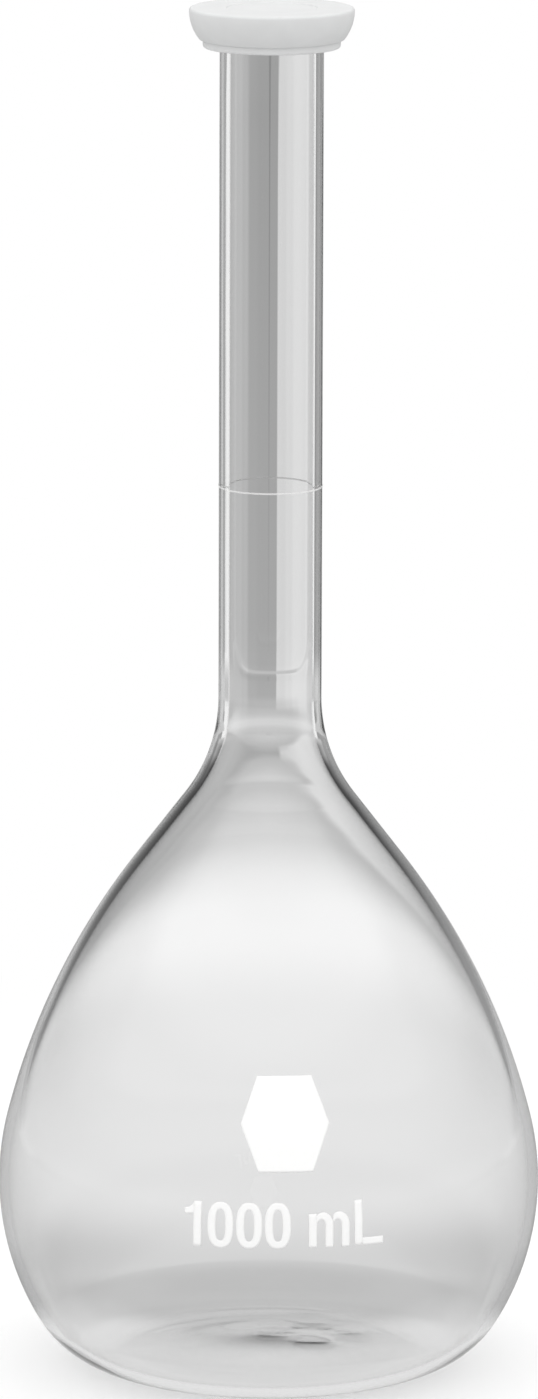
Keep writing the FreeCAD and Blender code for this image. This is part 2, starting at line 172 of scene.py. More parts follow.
# Points round the axis and along the runs of the sections
SEGMENTS = 224
KICK_POINTS_OUTSIDE = 20
KICK_POINTS_INSIDE = 48
FOOT_POINTS = 8
HEEL_POINTS_OUTSIDE = 22
HEEL_POINTS_INSIDE = 64
BELT_POINTS = 28
UPPER_POINTS = 34
FLANK_POINTS = 10
SHOULDER_POINTS = 22
NECK_POINTS = 8
FILLET_POINTS = 8
BEAD_POINTS = 16
MOUTH_POINTS = 3
LIP_POINTS = 8
UPPER_BORE_POINTS = 10
FLAME_LINE_POINTS = 44
LOWER_BORE_POINTS = 6
SPOT_POINTS = 41
STROKE_POINTS = 13
ARCH_POINTS = 25
ZERO_POINTS = 72
CAP_RIM_POINTS = 9
CAP_BOWL_POINTS = 24

# Tones of the finishes, and how fast the glass takes on its tint with depth
GLASS_TINT = (0.80, 0.83, 0.83, 1)
GLASS_TINT_DENSITY = 8.0
ENAMEL_DARKER = (0.93, 0.93, 0.925, 1)
ENAMEL_PALER = (0.97, 0.97, 0.965, 1)
ENAMEL_COVER = 1.0
RING_COVER = 0.45
CAP_DARKER = (0.67, 0.675, 0.675, 1)
CAP_PALER = (0.74, 0.745, 0.745, 1)

# The photograph's viewpoint
VIEW_AZIMUTH = math.radians(-3.7)
VIEW_DISTANCE = 2131.0 * MM
VIEW_HEIGHT = 574.0 * MM
VIEW_PITCH = math.radians(11.13)
VIEW_YAW = math.radians(0.006)
VIEW_ROLL = math.radians(0.16)
VIEW_LENS = 245.2
VIEW_SENSOR = 36.0
VIEW_CLIP = 50.0


def arc_run(centre, radius, start, end, count):
    """Points on an arc: the centre plus the radius times (cos, sin) of evenly spaced angles."""
    angle = np.linspace(start, end, count)
    return np.column_stack((centre[0] + radius * np.cos(angle), centre[1] + radius * np.sin(angle)))


def line_run(start, end, count):
    """Points evenly spaced on a straight line."""
    share = np.linspace(0, 1, count)[:, None]
    return np.asarray(start) * (1 - share) + np.asarray(end) * share


def join_runs(*runs):
    """Runs laid end to end, with the point that two of them share kept once."""
    return np.concatenate([runs[0]] + [run[1:] for run in runs[1:]])


def polar(centre, radius, angle):
    """Point at a radius and an angle round a centre."""
    return centre + radius * np.array([math.cos(angle), math.sin(angle)])


# Centres of the bulb's arcs in a half section (radius, height), from their tangencies
BELT_CENTRE = np.array([
    BULB_RADIUS - BELT_RADIUS,
    HEEL_RADIUS + (BELT_RADIUS - HEEL_RADIUS) * math.sin(HEEL_ANGLE)])
HEEL_CENTRE = polar(BELT_CENTRE, BELT_RADIUS - HEEL_RADIUS, -HEEL_ANGLE)
UPPER_CENTRE = polar(BELT_CENTRE, BELT_RADIUS - UPPER_RADIUS, BELT_ANGLE)
ACROSS = UPPER_RADIUS + SHOULDER_RADIUS
LEAN = math.acos((NECK_RADIUS + SHOULDER_RADIUS - UPPER_CENTRE[0]) / math.hypot(ACROSS, FLANK_LENGTH))
LEAN -= math.atan2(FLANK_LENGTH, ACROSS)
FLANK_STEP = polar(np.zeros(2), FLANK_LENGTH, LEAN + QUARTER)
SHOULDER_CENTRE = polar(UPPER_CENTRE, ACROSS, LEAN) + FLANK_STEP
SEAL_HEIGHT = SHOULDER_CENTRE[1]
BELT_TOP = polar(BELT_CENTRE, BELT_RADIUS, BELT_ANGLE)[1]


def bulb_wall(inset, kick_rise, kick_points, heel_points):
    """The bulb's wall from the axis to the seal, moved inwards by inset: a kick that falls off as one plus
    the cosine of the radius, flat foot, heel, belt and upper arcs, flank line and shoulder arc. Every inset
    keeps the same arc centres."""
    reach = np.linspace(0, KICK_RADIUS, kick_points)
    kick = np.column_stack((reach, inset + kick_rise * (1 + np.cos(math.pi * reach / KICK_RADIUS)) / 2))
    flank_foot = polar(UPPER_CENTRE, UPPER_RADIUS - inset, LEAN)
    return join_runs(
        kick,
        line_run(kick[-1], (HEEL_CENTRE[0], inset), FOOT_POINTS),
        arc_run(HEEL_CENTRE, HEEL_RADIUS - inset, -QUARTER, -HEEL_ANGLE, heel_points),
        arc_run(BELT_CENTRE, BELT_RADIUS - inset, -HEEL_ANGLE, BELT_ANGLE, BELT_POINTS),
        arc_run(UPPER_CENTRE, UPPER_RADIUS - inset, BELT_ANGLE, LEAN, UPPER_POINTS),
        line_run(flank_foot, flank_foot + FLANK_STEP, FLANK_POINTS),
        arc_run(SHOULDER_CENTRE, SHOULDER_RADIUS + inset, math.pi + LEAN, math.pi, SHOULDER_POINTS),
    )


def mouth_run():
    """The neck from the seal, up the outside, round the fillet, the bead and the lip to the bore."""
    bead = np.array([NECK_RADIUS, MOUTH_HEIGHT - BEAD_ROUND])
    drop = math.sqrt((BEAD_ROUND + BEAD_FILLET) ** 2 - BEAD_FILLET ** 2)
    fillet = bead + np.array([BEAD_FILLET, -drop])
    meeting = math.atan2(drop, BEAD_FILLET)
    lip = np.array([BORE_RADIUS + LIP_ROUND, MOUTH_HEIGHT - LIP_ROUND])
    return join_runs(
        line_run((NECK_RADIUS, SEAL_HEIGHT), (NECK_RADIUS, fillet[1]), NECK_POINTS),
        arc_run(fillet, BEAD_FILLET, math.pi, math.pi - meeting, FILLET_POINTS),
        arc_run(bead, BEAD_ROUND, -meeting, QUARTER, BEAD_POINTS),
        line_run((NECK_RADIUS, MOUTH_HEIGHT), (lip[0], MOUTH_HEIGHT), MOUTH_POINTS),
        arc_run(lip, LIP_ROUND, QUARTER, math.pi, LIP_POINTS),
    )


def bore_run():
    """The bore from the lip straight down to the seal, with close points round the flame line."""
    lip = (BORE_RADIUS, MOUTH_HEIGHT - LIP_ROUND)
    line_high = (BORE_RADIUS, FLAME_LINE_HEIGHT + FLAME_LINE_ABOVE)
    line_low = (BORE_RADIUS, FLAME_LINE_HEIGHT - FLAME_LINE_BELOW)
    return join_runs(
        line_run(lip, line_high, UPPER_BORE_POINTS),
        line_run(line_high, line_low, FLAME_LINE_POINTS),
        line_run(line_low, (BORE_RADIUS, SEAL_HEIGHT), LOWER_BORE_POINTS),
    )


def round_angles(count):
    """Evenly spaced angles once round the axis."""
    return np.linspace(0, 2 * math.pi, count, endpoint=False)


def new_piece(name, points, faces):
    """A smooth mesh object of these points and faces, at the origin."""
    mesh = bpy.data.meshes.new(name)
    mesh.from_pydata(points.tolist(), [], faces)
    mesh.shade_smooth()
    mesh.validate()
    piece = bpy.data.objects.new(name, mesh)
    bpy.context.scene.collection.objects.link(piece)
    return piece


def ring_quads(rows, columns, rows_close=False):
    """Faces of a grid whose columns close into rings: each quad steps round the ring, then along the
    rows."""
    steps = rows if rows_close else rows - 1
    row, column = np.meshgrid(np.arange(steps), np.arange(columns), indexing="ij")
    after = (column + 1) % columns
    here = row * columns
    above = (row + 1) % rows * columns
    corners = (here + column, here + after, above + after, above + column)
    return np.stack(corners, axis=-1).reshape(-1, 4)


def turned_piece(name, radius, height):
    """Surface of revolution from axis to axis: (radius cos a, radius sin a, height) for grids of radius
    and height over profile points and angles a. The first and last rows lie on the axis and become
    poles."""
    rows, columns = radius.shape
    angle = round_angles(columns)
    grid = np.stack((radius * np.cos(angle), radius * np.sin(angle), height), axis=-1)
    rings = grid[1:-1].reshape(-1, 3)
    poles = np.array([[0, 0, height[0].mean()], [0, 0, height[-1].mean()]])
    first = len(rings)
    last = first + 1
    here = np.arange(columns)
    after = (here + 1) % columns
    top = (rows - 3) * columns
    faces = ring_quads(rows - 2, columns).tolist()
    faces += np.column_stack((np.full(columns, first), after, here)).tolist()
    faces += np.column_stack((np.full(columns, last), top + here, top + after)).tolist()
    return new_piece(name, np.concatenate((rings, poles)), faces)


def seal_swelling(from_seal, angle):
    """Extra wall where neck and bulb were sealed: a bell curve of height, narrower above than below, plus
    a fading ripple that tilts with the angle."""
    spread = np.where(from_seal < 0, SEAL_SPREAD_BELOW, SEAL_SPREAD_ABOVE)
    swelling = SEAL_THICKENING * np.exp(-(from_seal / spread) ** 2)
    ripple = np.cos(2 * math.pi * from_seal / SEAL_RIPPLE_LENGTH + SEAL_RIPPLE_TILT * np.sin(angle))
    return swelling + SEAL_RIPPLE * ripple * np.exp(-(from_seal / SEAL_RIPPLE_SPREAD) ** 2)


def drawn_streaks(from_seal, angle):
    """Waver of the drawn neck: a sum of cosines of the angle, growing from nothing above the seal."""
    streak = sum(np.cos(waves * angle + waves ** 2) for waves in DRAW_STREAK_WAVES)
    return DRAW_STREAK * streak * np.clip(from_seal / DRAW_STREAK_START, 0, 1)


def blown_waves(from_seal, height, angle):
    """Slow waver of the blown bulb: a sine times a cosine of angle and height, none at the seal or the
    base."""
    first, second = BLOWN_WAVE_LENGTHS
    wave = np.sin(2 * angle + height / first) * np.cos(angle - height / second)
    below_seal = np.clip(-from_seal / BLOWN_WAVE_START, 0, 1)
    above_base = np.clip(height / BLOWN_WAVE_START, 0, 1)
    return BLOWN_WAVE * wave * below_seal * above_base


def flame_line(height, angle):
    """Faint U-shaped ridge on the front of the bore: a bell curve across a line whose height rises as a
    power of the angle's cosine, and which fades as it rises."""
    sideways = np.cos(angle)
    rise = FLAME_LINE_RISE * sideways ** FLAME_LINE_POWER
    climb = FLAME_LINE_POWER * sideways ** (FLAME_LINE_POWER - 1) * np.sin(angle)
    steepness = FLAME_LINE_RISE * climb / BORE_RADIUS
    across = (height - FLAME_LINE_HEIGHT - rise) / np.sqrt(1 + steepness ** 2)
    ridge = np.exp(-(across / FLAME_LINE_WIDTH) ** 2 - (rise / FLAME_LINE_FADE) ** 2)
    return np.where(np.sin(angle) < 0, FLAME_LINE_DEPTH * ridge, 0)


def heel_shelf(radius, height, angle):
    """Thicker glass in the base, which starts with a crease round the heel: a straight rise to a level,
    and more towards the back, where the glass ran."""
    level = np.clip((HEEL_SHELF_HEIGHT - height) / HEEL_SHELF_LENGTH, 0, 1)
    backwards = (radius * np.sin(angle) - HEEL_SHELF_FRONT) / (HEEL_SHELF_BACK - HEEL_SHELF_FRONT)
    return HEEL_SHELF_DEPTH * level * np.clip(backwards, 0, 1)


def base_mark(radius, height, angle):
    """Mark in the base, off the axis: a ridge along a circle, a bell curve across and a raised cosine
    along it, which makes its lobes."""
    across = radius * np.cos(angle) - BASE_MARK_PLACE[0]
    along = radius * np.sin(angle) - BASE_MARK_PLACE[1]
    from_ridge = np.hypot(across, along) - BASE_MARK_RADIUS
    lobes = 0.5 + 0.5 * np.cos(BASE_MARK_LOBES * np.arctan2(along, across) - BASE_MARK_TURN)
    ridge = BASE_MARK_DEPTH * lobes * np.exp(-(from_ridge / BASE_MARK_WIDTH) ** 2)
    return np.where(height < HEEL_SHELF_HEIGHT, ridge, 0)


def make_glass():
    """The whole glass as one closed wall: the outside from the axis up to the mouth, then the inside back
    down. The inside has more glass over the kick. It is moved towards the axis by the seal, the streaks,
    the waves and the flame line, and upwards by the heel's shelf and the mark in the base."""
    outside = join_runs(
        bulb_wall(0, KICK_RISE, KICK_POINTS_OUTSIDE, HEEL_POINTS_OUTSIDE),
        mouth_run())
    bulb_inside = bulb_wall(GLASS_WALL, KICK_RISE + KICK_THICKENING, KICK_POINTS_INSIDE, HEEL_POINTS_INSIDE)
    profile = join_runs(outside, bore_run(), bulb_inside[::-1])
    within = (np.arange(len(profile)) >= len(outside))[:, None]
    angle = round_angles(SEGMENTS)[None, :]
    radius = np.repeat(profile[:, :1], SEGMENTS, axis=1)
    height = np.repeat(profile[:, 1:], SEGMENTS, axis=1)

    from_seal = height - SEAL_RIPPLE_HEIGHT
    thicker = seal_swelling(from_seal, angle) + drawn_streaks(from_seal, angle)
    thicker += blown_waves(from_seal, height, angle) + flame_line(height, angle)
    off_axis = radius > 0
    radius = np.where(within & off_axis, radius - thicker, radius)
    raised = heel_shelf(radius, height, angle) + base_mark(radius, height, angle)
    height = np.where(within, height + raised, height)
    return turned_piece("flask_glass", radius, height)


def glass_radius(height, lift):
    """Outside radius of the bulb at a height, lifted off the glass: on the belt arc or the upper arc."""
    belt = BELT_CENTRE[0] + np.sqrt((BELT_RADIUS + lift) ** 2 - (height - BELT_CENTRE[1]) ** 2)
    upper = UPPER_CENTRE[0] + np.sqrt((UPPER_RADIUS + lift) ** 2 - (height - UPPER_CENTRE[1]) ** 2)
    return np.where(height < BELT_TOP, belt, upper)


def film_faces(rows, columns, start, rows_close):
    """Faces of one closed film: an upper grid, a lower grid turned over, and walls along the open
    edges."""
    index = np.arange(rows * columns).reshape(rows, columns)
    if rows_close:
        index = np.concatenate((index, index[:1]))
    low = index + rows * columns
    upper = np.stack((index[:-1, :-1], index[:-1, 1:], index[1:, 1:], index[1:, :-1]), axis=-1)
    lower = np.stack((low[:-1, :-1], low[1:, :-1], low[1:, 1:], low[:-1, 1:]), axis=-1)
    left = np.stack((index[:-1, 0], index[1:, 0], low[1:, 0], low[:-1, 0]), axis=-1)
    right = np.stack((index[1:, -1], index[:-1, -1], low[:-1, -1], low[1:, -1]), axis=-1)
    faces = [upper.reshape(-1, 4), lower.reshape(-1, 4), left, right]
    if not rows_close:
        faces.append(np.stack((index[0, 1:], index[0, :-1], low[0, :-1], low[0, 1:]), axis=-1))
        faces.append(np.stack((index[-1, :-1], index[-1, 1:], low[-1, 1:], low[-1, :-1]), axis=-1))
    return (np.concatenate(faces) + start).tolist()


def film_piece(name, patches):
    """One enamel piece from patches (upper grid, lower grid, whether the rows close)."""
    points = []
    faces = []
    count = 0
    for upper, lower, rows_close in patches:
        faces += film_faces(*upper.shape[:2], count, rows_close)
        points += [upper.reshape(-1, 3), lower.reshape(-1, 3)]
        count += 2 * upper.shape[0] * upper.shape[1]
    return new_piece(name, np.concatenate(points), faces)


def make_spot():
    """Six-sided write-on spot: its half width runs straight from the edge at top and bottom to the middle,
    and the film lies on the bulb at y = -sqrt(glass radius squared - x squared)."""
    rise = np.linspace(-1, 1, SPOT_POINTS)[:, None]
    across = np.linspace(-1, 1, SPOT_POINTS)[None, :]
    x = across * (SPOT_HALF_EDGE + (SPOT_HALF_WIDTH - SPOT_HALF_EDGE) * (1 - np.abs(rise)))
    z = np.broadcast_to((SPOT_LOW + SPOT_HIGH) / 2 + rise * (SPOT_HIGH - SPOT_LOW) / 2, x.shape)
    layers = [
        np.stack((x, -np.sqrt(glass_radius(z, lift) ** 2 - x ** 2), z), axis=-1)
        for lift in (ENAMEL_FILM, ENAMEL_SEAT)
    ]
    return film_piece("write_on_spot", [(*layers, False)])


def ribbon(first_edge, second_edge, count=5):
    """Grid between two edges of a stroke: straight blends from the first edge to the second."""
    share = np.linspace(0, 1, count)[None, :, None]
    return first_edge[:, None, :] * (1 - share) + second_edge[:, None, :] * share


def upright(left, right, low, high):
    """Upright rectangular stroke."""
    return ribbon(
        line_run((left, low), (left, high), STROKE_POINTS),
        line_run((right, low), (right, high), STROKE_POINTS))


def squared_oval(centre, half_width, half_height, power):
    """Closed curve whose points are (cos, sin) raised to a power: an oval with fuller corners."""
    angle = round_angles(ZERO_POINTS)
    cosine = np.cos(angle)
    sine = np.sin(angle)
    return np.column_stack((
        centre[0] + half_width * np.sign(cosine) * np.abs(cosine) ** power,
        centre[1] + half_height * np.sign(sine) * np.abs(sine) ** power))


def one_strokes(left):
    """A one: an upright and a flag whose top edge sweeps up to the upright as a quarter oval."""
    right = left + ONE_WIDTH
    stem = right - STROKE
    flag_low = MARK_HEIGHT - ONE_FLAG_DROP
    turn = np.linspace(0, QUARTER, STROKE_POINTS)
    sweep = np.column_stack((
        left + (stem - left) * np.sin(turn),
        MARK_HEIGHT - ONE_FLAG_SWEEP * np.cos(turn)))
    under = line_run((left, flag_low), (stem, flag_low), STROKE_POINTS)
    return [(upright(stem, right, 0, MARK_HEIGHT), False), (ribbon(sweep, under), False)]


def zero_strokes(left):
    """A nought: the ribbon between two squared ovals."""
    centre = (left + ZERO_WIDTH / 2, MARK_HEIGHT / 2)
    hole = squared_oval(
        centre, ZERO_WIDTH / 2 - STROKE, MARK_HEIGHT / 2 - THIN_STROKE, ZERO_HOLE_POWER)
    rim = squared_oval(centre, ZERO_WIDTH / 2, MARK_HEIGHT / 2 + ZERO_OVERSHOOT, ZERO_RIM_POWER)
    return [(ribbon(hole, rim), True)]


def arch_strokes(left, right):
    """One arch of an m: part of an outer oval, kept right of the stem, and an inner half oval, which both
    run down into the leg on the right."""
    inner_right = right - STROKE
    inner_middle = (left + inner_right) / 2
    outer_middle = inner_middle + ARCH_SHIFT
    turn = np.linspace(ARCH_START, 0, ARCH_POINTS)
    outer = np.column_stack((
        np.maximum(outer_middle + (right - outer_middle) * np.cos(turn), left),
        M_SPRING + (M_HEIGHT - M_SPRING) * np.sin(turn)))
    turn = np.linspace(math.pi, 0, ARCH_POINTS)
    inner = np.column_stack((
        inner_middle + (inner_right - inner_middle) * np.cos(turn),
        M_SPRING + (M_HEIGHT - THIN_STROKE - M_SPRING) * np.sin(turn)))
    outer = join_runs(outer, line_run((right, M_SPRING), (right, 0), STROKE_POINTS))
    inner = join_runs(inner, line_run((inner_right, M_SPRING), (inner_right, 0), STROKE_POINTS))
    return [(ribbon(outer, inner), False)]


def m_strokes(left):
    """A small m: an upright and two arches."""
    leg = (M_WIDTH - STROKE) / 2
    strokes = [(upright(left, left + STROKE, 0, M_STEM_HEIGHT), False)]
    for step in (0, 1):
        start = left + STROKE + step * leg
        strokes += arch_strokes(start, start + leg)
    return strokes


def l_strokes(left):
    """A capital L: an upright and a foot."""
    stem = left + STROKE
    right = left + L_WIDTH
    foot = ribbon(
        line_run((stem, L_FOOT), (right, L_FOOT), STROKE_POINTS),
        line_run((stem, 0), (right, 0), STROKE_POINTS))
    return [(upright(left, stem, 0, MARK_HEIGHT), False), (foot, False)]


def on_bulb(turn, height, lift):
    """Place on the bulb, lifted off the glass: (r sin turn, -r cos turn, height), r the glass radius."""
    radius = glass_radius(height, lift)
    return np.stack((radius * np.sin(turn), -radius * np.cos(turn), height), axis=-1)


def make_capacity_mark():
    """The figures 1000 mL, wrapped round the bulb: the angle is the run along the mark over the bulb's
    radius, and height runs straight up."""
    strokes = one_strokes(ONE_LEFT)
    for left in ZERO_LEFTS:
        strokes += zero_strokes(left)
    strokes += m_strokes(M_LEFT) + l_strokes(L_LEFT)
    patches = []
    for grid, rows_close in strokes:
        turn = grid[..., 0] / BULB_RADIUS
        height = MARK_LOW + grid[..., 1]
        layers = [on_bulb(turn, height, lift) for lift in (ENAMEL_FILM, ENAMEL_SEAT)]
        patches.append((*layers, rows_close))
    return film_piece("capacity_mark", patches)


def make_ring():
    """Ring mark: a low rounded section carried round the neck, a little wider here and there by a sine
    times a cosine of the angle."""
    turn = round_angles(SEGMENTS)[None, :]
    quick, slow = RING_WAVES
    half = RING_WIDTH / 2 * (1 + RING_UNEVENNESS * np.sin(quick * turn + 1) * np.cos(slow * turn))
    up, out = np.array(RING_SECTION).T
    radius = NECK_RADIUS + np.repeat(out[:, None], SEGMENTS, axis=1)
    height = RING_HEIGHT + up[:, None] * half
    grid = np.stack((radius * np.cos(turn), radius * np.sin(turn), height), axis=-1)
    return new_piece("ring_mark", grid.reshape(-1, 3), ring_quads(len(out), SEGMENTS, True).tolist())


def eased(corners, count=6):
    """Outline through corners (radius, height, easing), each rounded by a quadratic curve that starts and
    ends one easing away from it, or less where the next corner is near."""
    places = np.array(corners, float)[:, :2]
    easings = np.array(corners, float)[1:-1, 2]
    share = np.linspace(0, 1, count)[:, None]
    points = [places[:1]]
    for before, here, after, easing in zip(places, places[1:], places[2:], easings):
        start = here + (before - here) * min(easing / np.linalg.norm(before - here), EASING_LIMIT)
        end = here + (after - here) * min(easing / np.linalg.norm(after - here), EASING_LIMIT)
        points.append(start * (1 - share) ** 2 + 2 * here * share * (1 - share) + end * share ** 2)
    points.append(places[-1:])
    return np.concatenate(points)


def make_cap():
    """Snap cap, turned: well, top, rim, bowl-shaped side, step, skirt, seat on the mouth and hollow
    plug."""
    skirt_bore = NECK_RADIUS + BEAD_ROUND + SKIRT_CLEARANCE
    skirt = skirt_bore + SKIRT_WALL
    flange = skirt + FLANGE_OVERHANG
    foot = skirt + FOOT_OVERHANG
    widest = CAP_PLATE - RIM_ROUND
    flange_low = CAP_PLATE - FLANGE_DEPTH
    skirt_low = flange_low - SKIRT_DROP
    plug = BORE_RADIUS - PLUG_CLEARANCE
    plug_bore = plug - PLUG_WALL
    bowl_rise = widest - flange_low
    bowl_round = (bowl_rise ** 2 + (flange - foot) ** 2) / (2 * (flange - foot))
    bowl_swing = math.asin(bowl_rise / bowl_round)
    well_floor = CAP_PLATE - WELL_DEPTH

    top = eased([
        (0, well_floor, 0),
        (WELL_RADIUS - WELL_HALF_SLOPE, well_floor, CAP_EASING),
        (WELL_RADIUS + WELL_HALF_SLOPE, CAP_PLATE, CAP_EASING),
        (flange - RIM_ROUND, CAP_PLATE, 0)])
    rim = arc_run((flange - RIM_ROUND, widest), RIM_ROUND, QUARTER, 0, CAP_RIM_POINTS)
    bowl = arc_run((flange - bowl_round, widest), bowl_round, 0, -bowl_swing, CAP_BOWL_POINTS)
    under = eased([
        (*bowl[-2], 0),
        (foot, flange_low, CAP_EASING),
        (skirt, flange_low, CAP_EASING),
        (skirt, skirt_low, SKIRT_ROUND),
        (skirt_bore, skirt_low, CAP_EASING),
        (skirt_bore, 0, CAP_EASING),
        (plug, 0, CAP_EASING),
        (plug, -PLUG_LENGTH, PLUG_ROUND),
        (plug_bore, -PLUG_LENGTH, CAP_EASING),
        (plug_bore, 0, CAP_EASING),
        (0, 0, 0)])
    profile = np.concatenate((top, rim[1:], bowl[1:-1], under[1:]))[::-1]
    radius = np.repeat(profile[:, :1], SEGMENTS, axis=1)
    height = MOUTH_HEIGHT + np.repeat(profile[:, 1:], SEGMENTS, axis=1)
    return turned_piece("cap_moulding", radius, height)


def feed(tree, socket, value):
    """Link a socket to another's output, or set it to a value."""
    if isinstance(value, bpy.types.NodeSocket):
        tree.links.new(value, socket)
    else:
        socket.default_value = value


def add_node(tree, kind, *inputs, **settings):
    """Add a node, make its settings, and feed its inputs in order, leaving out those given as None."""
    made = tree.nodes.new(kind)
    for name, value in settings.items():
        setattr(made, name, value)
    for socket, value in zip(made.inputs, inputs):
        if value is not None:
            feed(tree, socket, value)
    return made


def calculate(tree, operation, *inputs):
    """Output of one arithmetic node."""
    return add_node(tree, "ShaderNodeMath", *inputs, operation=operation).outputs[0]


def step_between(tree, value, low, high, start=0.0, end=1.0):
    """Smooth step of a value: start below low, end above high."""
    inputs = (value, low, high, start, end)
    return add_node(tree, "ShaderNodeMapRange", *inputs, interpolation_type="SMOOTHSTEP").outputs[0]


def blend_values(tree, share, first, second):
    """First where share is 0, second where it is 1."""
    made = add_node(tree, "ShaderNodeMix", share, data_type="FLOAT")
    feed(tree, made.inputs[2], first)
    feed(tree, made.inputs[3], second)
    return made.outputs[0]


def object_place(tree):
    """Place on the object, in its own frame."""
    return tree.nodes.new("ShaderNodeTexCoord").outputs["Object"]


def noise(tree, place, scale, detail, roughness):
    """Noise of a place, from 0 to 1."""
    return add_node(tree, "ShaderNodeTexNoise", place, None, scale, detail, roughness).outputs[0]


def clouded(tree, cloud, darker, paler):
    """Colour that wanders between two tones with a noise."""
    made = add_node(tree, "ShaderNodeMix", cloud, data_type="RGBA")
    made.inputs[6].default_value = darker
    made.inputs[7].default_value = paler
    return made.outputs[2]


def bumped(tree, grain, strength, depth):
    """Normal of a surface that a noise raises by a depth in metres."""
    return add_node(tree, "ShaderNodeBump", strength, depth, None, grain).outputs[0]


def new_material(name):
    """An empty material, its tree and its output node."""
    material = bpy.data.materials.new(name)
    material.use_nodes = True
    material.node_tree.nodes.clear()
    return material, material.node_tree, material.node_tree.nodes.new("ShaderNodeOutputMaterial")


def surface(tree, output, **sockets):
    """A principled surface with these sockets, linked to the output."""
    made = tree.nodes.new("ShaderNodeBsdfPrincipled")
    for name, value in sockets.items():
        feed(tree, made.inputs[name.replace("_", " ")], value)
    tree.links.new(made.outputs[0], output.inputs["Surface"])


def borosilicate_glass():
    """Clear flame-worked glass, faintly grey through its depth, with the slight waver of a blown
    surface."""
    material, tree, output = new_material("borosilicate_glass")
    waver = noise(tree, object_place(tree), scale=45.0, detail=2.0, roughness=0.4)
    surface(
        tree, output, Base_Color=(1, 1, 1, 1), Roughness=0.0, IOR=1.47, Transmission_Weight=1.0,
        Normal=bumped(tree, waver, strength=0.05, depth=0.4 * MM))
    depth = add_node(tree, "ShaderNodeVolumeAbsorption", GLASS_TINT, GLASS_TINT_DENSITY)
    tree.links.new(depth.outputs[0], output.inputs["Volume"])
    return material


def fired_enamel(name, cover):
    """Matte white enamel: a screened film with a faint mottle and a fine tooth, which covers the glass
    wholly or in part."""
    material, tree, output = new_material(name)
    place = object_place(tree)
    mottle = noise(tree, place, scale=900.0, detail=3.0, roughness=0.6)
    tooth = noise(tree, place, scale=4200.0, detail=2.0, roughness=0.5)
    surface(
        tree, output, Base_Color=clouded(tree, mottle, ENAMEL_DARKER, ENAMEL_PALER),
        Roughness=0.55, Alpha=cover, Normal=bumped(tree, tooth, strength=0.25, depth=0.03 * MM))
    return material


def cap_polyethylene():
    """Soft white polyethylene: milky, a little translucent, faintly clouded, with a fine moulded
    grain."""
    material, tree, output = new_material("cap_polyethylene")
    place = object_place(tree)
    cloud = noise(tree, place, scale=160.0, detail=4.0, roughness=0.55)
    grain = noise(tree, place, scale=2600.0, detail=3.0, roughness=0.6)
    surface(
        tree, output, Base_Color=clouded(tree, cloud, CAP_DARKER, CAP_PALER), Roughness=0.5, IOR=1.51,
        Specular_IOR_Level=0.25, Normal=bumped(tree, grain, strength=0.22, depth=0.06 * MM),
        Subsurface_Weight=0.2, Subsurface_Radius=(1.0, 1.0, 1.0), Subsurface_Scale=2.0 * MM)
    return material


# The studio that the glass shows, as brightness. A card is its left and right edge and the soft run at
# each, in degrees round the flask from straight behind it, and its brightness. The seam has no brightness
# of its own, but a shade. What is named for the mirror shows only in reflections.
ROOM_LIGHT = 0.30
LEFT_STRIP = (-60, -26, 2, 3, 0.95)
LEFT_CARD = (-26, 0, 3, 1, 0.53)
GREY_CARD = (-5.6, 1.4, 8, 0.7, 0.395)
RIGHT_CARD = (1.4, 60, 0.7, 2, 0.70)
RIGHT_CARD_MIDDLE = (4, 16, 5, 6, 0.80)
LEFT_WALL = (-190, -72, 6, 6, 0.72)
RIGHT_WALL = (72, 190, 6, 6, 0.72)
CARDS = (LEFT_STRIP, LEFT_CARD, GREY_CARD, RIGHT_CARD, RIGHT_CARD_MIDDLE, LEFT_WALL, RIGHT_WALL)
GREY_SEAM = (-0.6, 0.1, 0.3, 0.3)
GREY_SEAM_SHADE = 0.72
MIRROR_CARDS = ((-58, -41, 3, 3, 0.95), (-22, 0, 3, 3, 0.60), (44, 58, 3, 3, 0.95))

# A run is where it starts and ends and, unless they are 0 and 1, its values there. These go upwards, over
# the sine of the slope.
GREY_CARD_RUN = (-0.19, -0.12, 1.0, 0.88)
GREY_SEAM_RUN = (-0.21, -0.12)
SKY_RUN = (-0.06, 0.18)
SKY_LIGHT = 0.06
DOME_RUN = (-0.1, 0.25, 0.6, 1.3)
MIRROR_ROOM_RUN = (-0.10, -0.02)
MIRROR_BACK_FOOT_RUN = (-0.05, 0.05)
MIRROR_BACK_TOP_RUN = (0.45, 0.6, 1.0, 0.0)
SOFTBOX_FOOT_RUN = (0.47, 0.64, 0.0, 0.4)
SOFTBOX_TOP_RUN = (0.78, 0.90, 1.0, 0.0)

# Runs over degrees: the first from left to right, the others to either side
MIRROR_TURN_RUN = (-8, 8, 0.20, 0.34)
MIRROR_SIDES_RUN = (27, 36)
MIRROR_SIDE_LIGHT = 0.60
MIRROR_BACK_SIDES_RUN = (8, 18, 1.0, 0.0)
MIRROR_BACK_LIGHT = 0.48
SHADOW_SIDES_RUN = (38, 68, 1.0, 0.15)
FLOOR_SIDES_RUN = (8, 34, 0.0, 0.13)
FLOOR_FAR_SIDES_RUN = (4, 13, 0.45, 0.28)

